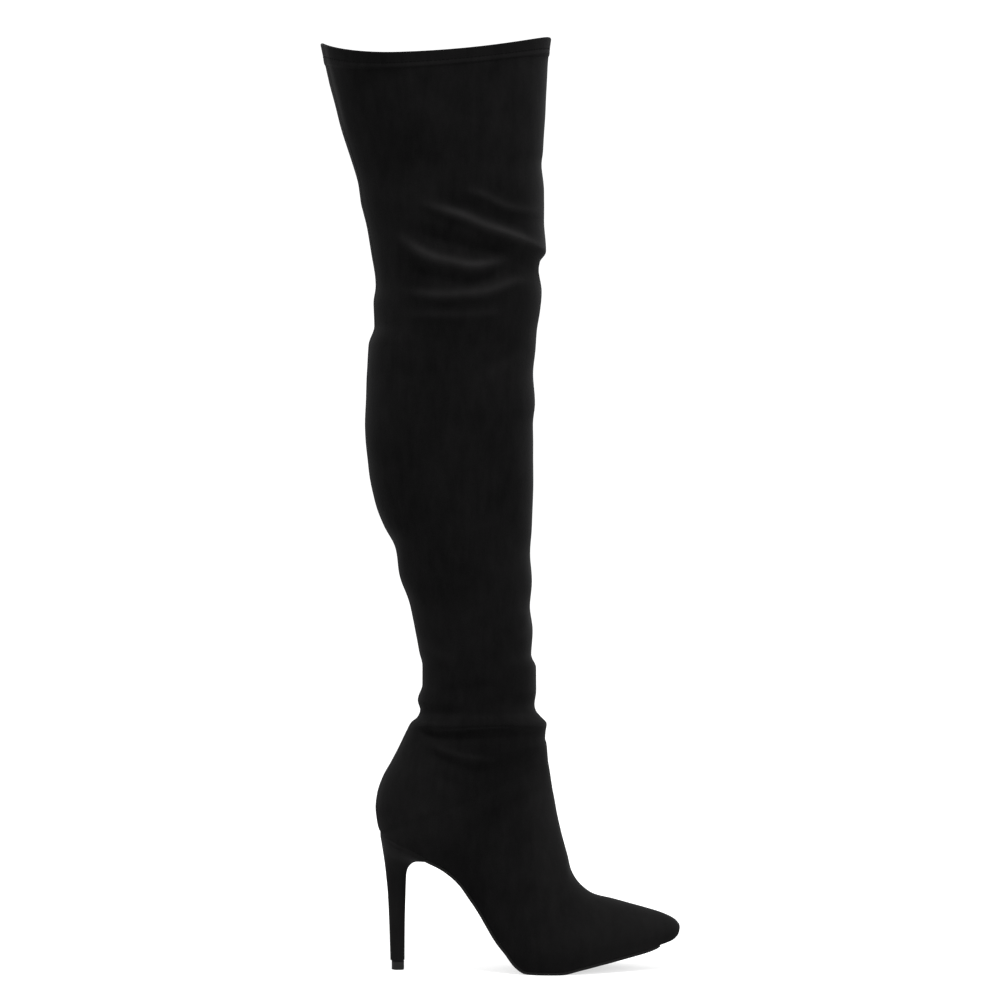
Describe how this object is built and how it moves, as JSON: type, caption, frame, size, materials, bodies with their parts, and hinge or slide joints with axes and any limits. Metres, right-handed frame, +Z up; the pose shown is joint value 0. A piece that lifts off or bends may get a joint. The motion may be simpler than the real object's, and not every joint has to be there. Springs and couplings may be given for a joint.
{
  "type": "thigh high boot",
  "caption": "Pointed thigh high stretch boot on a tall covered stiletto heel, standing empty, with soft folds at knee and ankle.",
  "frame": {"origin": "middle of the heel's floor face, on the floor plane", "axes": "+Z up the leg, +X towards the toe, +Y towards the inner side of the leg"},
  "size_m": [0.2841, 0.1268, 0.7357],
  "materials": {
    "suede": "napped microsuede, matt with a soft sheen",
    "insole_board": "smooth sock lining",
    "sole_rubber": "satin",
    "heel_cover": "microsuede over a hard heel",
    "lift_plastic": "satin"
  },
  "bodies": {
    "root": {"upper": "suede", "insole": "insole_board", "outsole": "sole_rubber", "heel": "heel_cover", "top_lift": "lift_plastic"}
  },
  "joints": []
}
